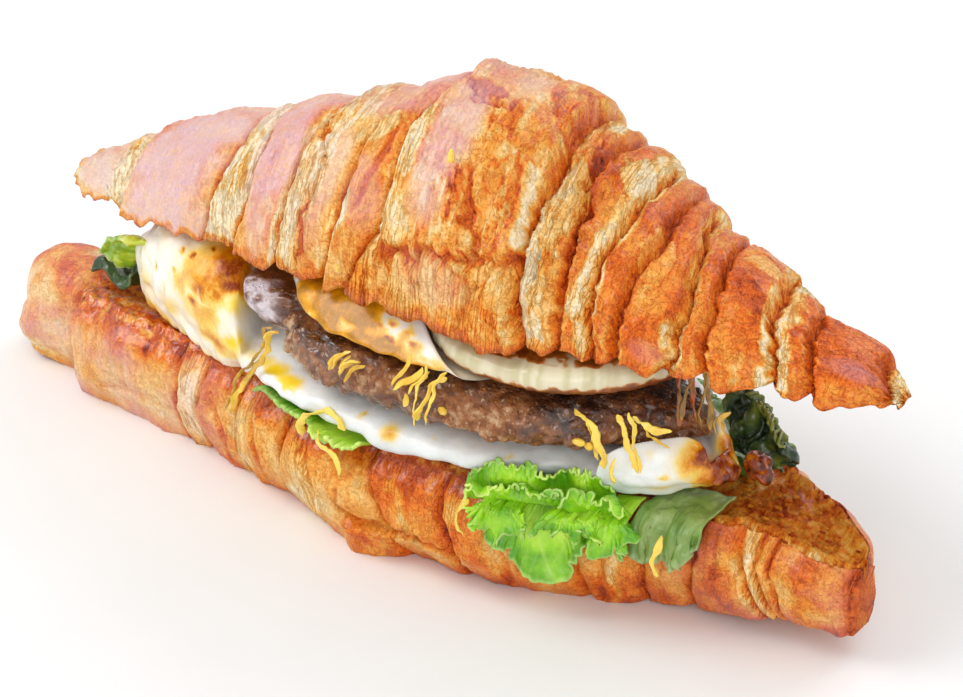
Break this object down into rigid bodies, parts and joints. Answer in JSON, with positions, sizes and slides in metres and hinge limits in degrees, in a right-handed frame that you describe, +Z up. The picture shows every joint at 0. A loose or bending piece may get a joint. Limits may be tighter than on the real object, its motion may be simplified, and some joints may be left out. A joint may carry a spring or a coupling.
{
  "type": "filled croissant sandwich",
  "caption": "Cut croissant with a raised ridged lid, filled with fried egg, meat patty, onion slice, frilly lettuce and cheese shreds",
  "frame": {"origin": "middle of the footprint of the whole sandwich, on the surface it rests on", "axes": "+X along the croissant to the right as seen from its open front, +Y to the back, +Z up"},
  "size_m": [0.1826, 0.0642, 0.0776],
  "materials": {
    "crust_top": "baked laminated crust, orange brown glaze with cream flaky edges",
    "crust_bottom": "baked crust with a toasted cut face",
    "egg": "moist fried egg white, golden and browned in places",
    "egg_golden": "glossy golden fried egg, half translucent",
    "patty": "seared ground meat, moist and knobbly",
    "onion": "fried onion, pale and half translucent with brown edges",
    "lettuce": "fresh frilly leaf, waxy",
    "lettuce_dark": "dark wilted leaf, moist",
    "cheese": "soft melting cheese shred",
    "browned": "dark crisp caramelised bit"
  },
  "bodies": {
    "root": {"bottom_bun": "crust_bottom", "top_bun": "crust_top", "egg": "egg", "egg_flap": "egg_golden", "patty_front": "patty", "patty_back": "patty", "onion_slice": "onion", "lettuce_front": "lettuce", "lettuce_right": "lettuce", "lettuce_middle": "lettuce", "lettuce_left": "lettuce", "lettuce_bits": "lettuce_dark", "lettuce_back": "lettuce", "lettuce_curl": "lettuce_dark", "browned_bit": "browned", "cheese_01": "cheese", "cheese_02": "cheese", "cheese_03": "cheese", "cheese_04": "cheese", "cheese_05": "cheese", "cheese_06": "cheese", "cheese_07": "cheese", "cheese_08": "cheese", "cheese_09": "cheese", "cheese_10": "cheese", "cheese_11": "cheese", "cheese_12": "cheese", "cheese_13": "cheese", "cheese_14": "cheese", "cheese_15": "cheese", "cheese_16": "cheese", "cheese_17": "cheese", "cheese_18": "cheese"}
  },
  "joints": []
}
